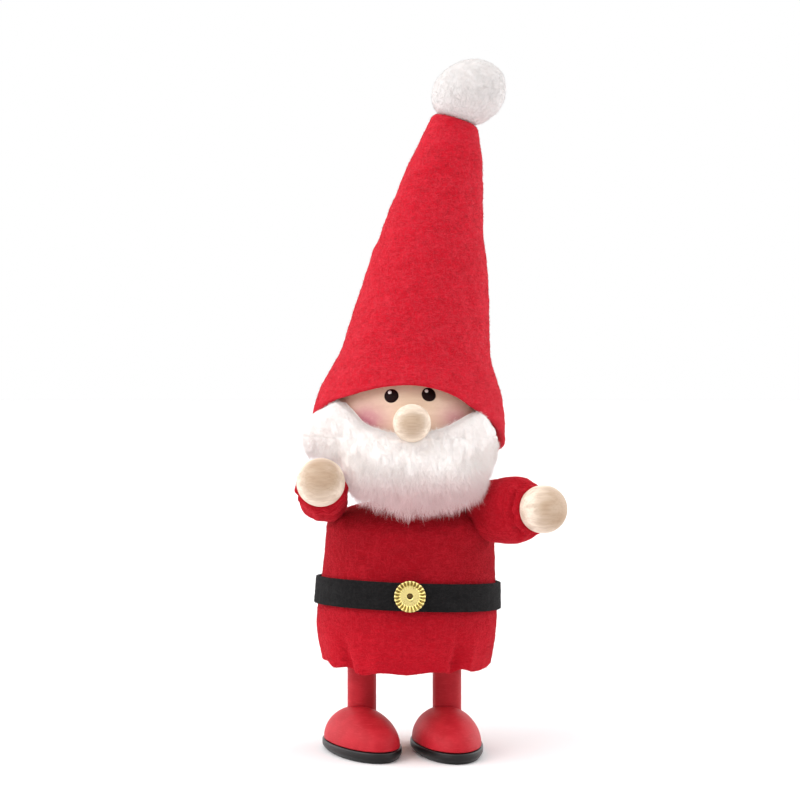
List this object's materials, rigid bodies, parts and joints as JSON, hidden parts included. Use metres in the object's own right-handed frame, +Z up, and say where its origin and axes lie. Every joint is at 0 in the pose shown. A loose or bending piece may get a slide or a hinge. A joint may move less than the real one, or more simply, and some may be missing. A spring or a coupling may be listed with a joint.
{
  "type": "gnome figurine",
  "caption": "Standing tomte gnome figurine of wood and felt with a tall leaning hat, fleece beard, belted tunic and arms on a bendable wire.",
  "frame": {"origin": "on the ground, under the middle of the bounding box", "axes": "+Z up, -Y the way the face looks, +X to the figure's left"},
  "size_m": [0.0656, 0.0538, 0.1701],
  "materials": {
    "red_felt": "thick wool felt, matte, short fuzz",
    "black_felt": "thin wool felt, matte",
    "white_felt": "dense felted wool, smooth, matte",
    "white_fleece": "curly sheep fleece",
    "white_hide": "thin undyed skin, matte",
    "white_filling": "loose fibre filling",
    "bare_wood": "fine-sanded bare wood",
    "inner_wood": "turned bare wood",
    "red_paint": "matte red paint on wood",
    "black_paint": "satin black paint on wood",
    "brass": "polished pressed brass",
    "brass_nail": "darkened",
    "steel_wire": "soft annealed wire"
  },
  "bodies": {
    "torso": {"sole_right": "black_paint", "shoe_right": "red_paint", "leg_right": "red_paint", "sole_left": "black_paint", "shoe_left": "red_paint", "leg_left": "red_paint", "body_core": "inner_wood", "tunic": "red_felt", "belt": "black_felt", "buckle": "brass", "buckle_pin": "brass_nail", "neck_dowel": "inner_wood", "head_ball": "bare_wood", "nose": "bare_wood", "beard_backing": "white_hide", "beard_fleece": "white_fleece", "hat": "red_felt", "hat_stuffing": "white_filling", "pompom": "white_felt", "shoulder_wire": "steel_wire"},
    "arm_right": {"sleeve_right": "red_felt", "arm_wire_right": "steel_wire", "hand_right": "bare_wood"},
    "arm_left": {"sleeve_left": "red_felt", "arm_wire_left": "steel_wire", "hand_left": "bare_wood"}
  },
  "joints": [
    {"name": "shoulder_right", "type": "hinge", "parent": "torso", "child": "arm_right", "pos_m": [-0.02612, -0.00399, 0.0602], "axis": [0.7122, -0.2684, -0.6486], "range_deg": [-6, 88]},
    {"name": "shoulder_left", "type": "hinge", "parent": "torso", "child": "arm_left", "pos_m": [0.01498, -0.00375, 0.0596], "axis": [0.5155, 0.5158, 0.6843], "range_deg": [-6, 44]}
  ]
}
